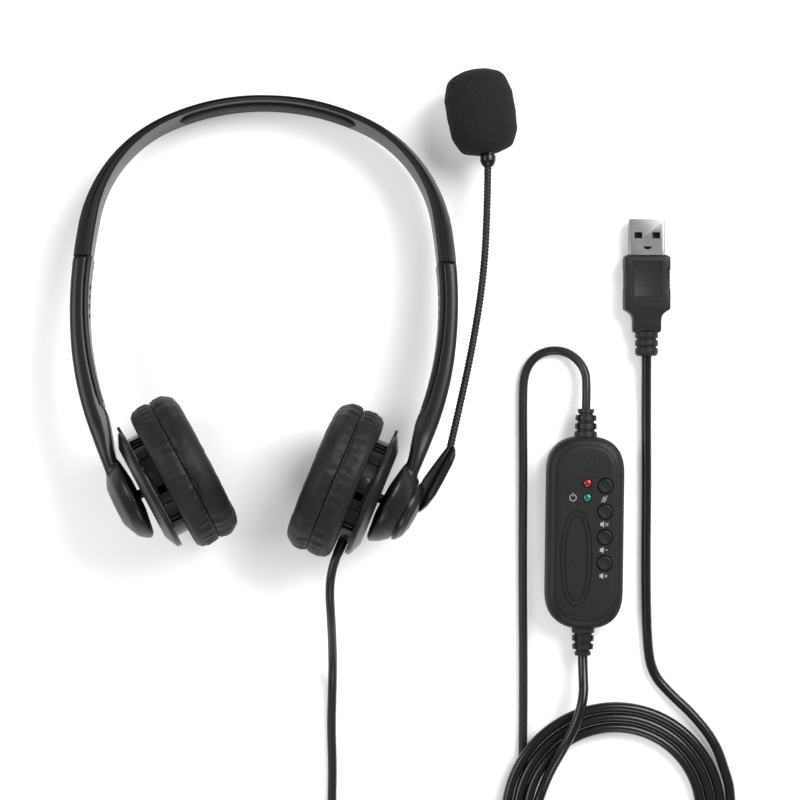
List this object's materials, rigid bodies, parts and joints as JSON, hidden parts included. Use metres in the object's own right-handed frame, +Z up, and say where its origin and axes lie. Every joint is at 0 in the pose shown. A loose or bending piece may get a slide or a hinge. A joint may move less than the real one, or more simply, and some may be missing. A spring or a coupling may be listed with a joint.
{
  "type": "office headset",
  "caption": "Wired on-ear office headset with sliding sprung headband, two padded ball-jointed cups, swivelling boom microphone, in-line controller and USB plug.",
  "frame": {"origin": "on the surface the headset lies on, under the middle of the headset without its cord, controller and plug", "axes": "+Z up from that surface, +Y from the cups to the crown of the band, +X from the left cup to the right cup, which carries the boom"},
  "size_m": [0.2254, 0.2936, 0.0508],
  "materials": {
    "band_plastic": "satin moulded black",
    "cup_plastic": "satin moulded black",
    "boom_plastic": "satin moulded black",
    "pad_rubber": "soft matt strip",
    "leatherette": "fine-grained black leatherette",
    "scrim_cloth": "thin black mesh cloth",
    "foam": "open-cell black foam",
    "neck_steel": "black wound steel tube",
    "collar_plastic": "glossy black",
    "inner_plastic": "plain",
    "spring_steel": "spring strip",
    "screw_steel": "zinc plated",
    "joint_plastic": "natural acetal, black",
    "controller_plastic": "fine-textured dark grey",
    "button_rubber": "satin dark grey",
    "lamp_lens": "tinted clear lens",
    "circuit_board": "green glass-fibre board",
    "matt_cord": "satin dark grey jacket",
    "gloss_cord": "glossy black jacket",
    "plug_rubber": "satin black overmould",
    "plug_metal": "nickel plated",
    "plug_insulator": "white insulator with gilt contacts"
  },
  "bodies": {
    "right_cup": {"right_ball_stud": "joint_plastic", "right_cup_back": "cup_plastic", "right_cup_front": "cup_plastic", "right_cup_screws": "screw_steel", "right_driver": "inner_plastic", "right_pad_scrim": "scrim_cloth", "right_ear_pad": "leatherette", "cup_strain_relief": "matt_cord", "headset_cord": "matt_cord", "headset_cord_coil": "matt_cord", "controller_cord": "matt_cord", "controller_strain_reliefs": "matt_cord", "controller_top": "controller_plastic", "controller_base": "controller_plastic", "controller_board": "circuit_board", "controller_screws": "screw_steel", "status_leds": "lamp_lens", "usb_cord_start": "gloss_cord", "usb_cord_coil": "gloss_cord", "usb_cord_end": "gloss_cord", "plug_body": "plug_rubber", "plug_shell": "plug_metal", "plug_tongue": "plug_insulator"},
    "right_collar": {"right_pivot_collar": "joint_plastic"},
    "right_arm": {"right_arm_shell": "band_plastic", "right_arm_cover": "band_plastic", "right_arm_screws": "screw_steel", "right_detent_spring": "spring_steel", "right_ball_socket": "joint_plastic", "boom_pivot_pin": "screw_steel"},
    "headband": {"headband_shell": "band_plastic", "headband_pad": "pad_rubber", "left_slide_tongue": "spring_steel", "right_slide_tongue": "spring_steel"},
    "left_arm": {"left_arm_shell": "band_plastic", "left_arm_cover": "band_plastic", "left_arm_screws": "screw_steel", "left_detent_spring": "spring_steel", "left_ball_socket": "joint_plastic"},
    "left_collar": {"left_pivot_collar": "joint_plastic"},
    "left_cup": {"left_ball_stud": "joint_plastic", "left_cup_back": "cup_plastic", "left_cup_front": "cup_plastic", "left_cup_screws": "screw_steel", "left_driver": "inner_plastic", "left_pad_scrim": "scrim_cloth", "left_ear_pad": "leatherette"},
    "boom": {"boom_hub": "boom_plastic", "boom_cover": "boom_plastic", "gooseneck_1": "neck_steel"},
    "neck_2": {"gooseneck_2": "neck_steel"},
    "neck_3": {"gooseneck_3": "neck_steel"},
    "microphone": {"gooseneck_4": "neck_steel", "mic_collar": "collar_plastic", "mic_capsule": "inner_plastic", "mic_foam": "foam"},
    "mic_mute_button": {"mic_mute_button": "button_rubber"},
    "speaker_mute_button": {"speaker_mute_button": "button_rubber"},
    "volume_down_button": {"volume_down_button": "button_rubber"},
    "volume_up_button": {"volume_up_button": "button_rubber"}
  },
  "joints": [
    {"name": "right_cup_swivel", "type": "hinge", "parent": "right_cup", "child": "right_collar", "pos_m": [0.03176, -0.06321, 0.02624], "axis": [-0.3842, -0.9165, 0.1114], "range_deg": [-5, 5]},
    {"name": "right_cup_tilt", "type": "hinge", "parent": "right_collar", "child": "right_arm", "pos_m": [0.03176, -0.06321, 0.02624], "axis": [0.002, 0.1199, 0.9928], "range_deg": [-2, 10]},
    {"name": "right_arm_slide", "type": "slide", "parent": "right_arm", "child": "headband", "axis": [0.0165, 0.9926, -0.1199], "range_m": [0, 0.025]},
    {"name": "left_arm_slide", "type": "slide", "parent": "headband", "child": "left_arm", "axis": [-0.0165, -0.9926, 0.1199], "range_m": [0, 0.025]},
    {"name": "left_cup_tilt", "type": "hinge", "parent": "left_arm", "child": "left_collar", "pos_m": [-0.05383, -0.06179, 0.02624], "axis": [0.002, 0.1199, 0.9928], "range_deg": [-8, 4]},
    {"name": "left_cup_swivel", "type": "hinge", "parent": "left_collar", "child": "left_cup", "pos_m": [-0.05383, -0.06179, 0.02624], "axis": [0.4703, -0.8762, 0.1049], "range_deg": [-5, 5]},
    {"name": "boom_swivel", "type": "hinge", "parent": "right_arm", "child": "boom", "pos_m": [0.03644, -0.06568, 0.02652], "axis": [0.8834, -0.4654, 0.0544], "range_deg": [-135, 135]},
    {"name": "gooseneck_bend", "type": "hinge", "parent": "boom", "child": "neck_2", "pos_m": [0.05704, -0.0215, 0.02201], "axis": [0.0062, -0.1046, -0.9945], "range_deg": [-4, 14]},
    {"name": "gooseneck_bend_2", "type": "hinge", "parent": "neck_2", "child": "neck_3", "pos_m": [0.06149, 0.00195, 0.01957], "axis": [0.0062, -0.1046, -0.9945], "range_deg": [-4, 14]},
    {"name": "gooseneck_bend_3", "type": "hinge", "parent": "neck_3", "child": "microphone", "pos_m": [0.06397, 0.02568, 0.01709], "axis": [0.0062, -0.1046, -0.9945], "range_deg": [-4, 14]},
    {"name": "mic_mute_button_press", "type": "slide", "parent": "right_cup", "child": "mic_mute_button", "axis": [0, 0, -1], "range_m": [0, 0.0005], "stiffness_N_per_m": 600, "springref_m": -0.0006},
    {"name": "speaker_mute_button_press", "type": "slide", "parent": "right_cup", "child": "speaker_mute_button", "axis": [0, 0, -1], "range_m": [0, 0.0005], "stiffness_N_per_m": 600, "springref_m": -0.0006},
    {"name": "volume_down_button_press", "type": "slide", "parent": "right_cup", "child": "volume_down_button", "axis": [0, 0, -1], "range_m": [0, 0.0005], "stiffness_N_per_m": 600, "springref_m": -0.0006},
    {"name": "volume_up_button_press", "type": "slide", "parent": "right_cup", "child": "volume_up_button", "axis": [0, 0, -1], "range_m": [0, 0.0005], "stiffness_N_per_m": 600, "springref_m": -0.0006}
  ],
  "couplings": [
    {"joint": "gooseneck_bend_2", "follows": "gooseneck_bend", "ratio": 1},
    {"joint": "gooseneck_bend_3", "follows": "gooseneck_bend", "ratio": 1}
  ]
}
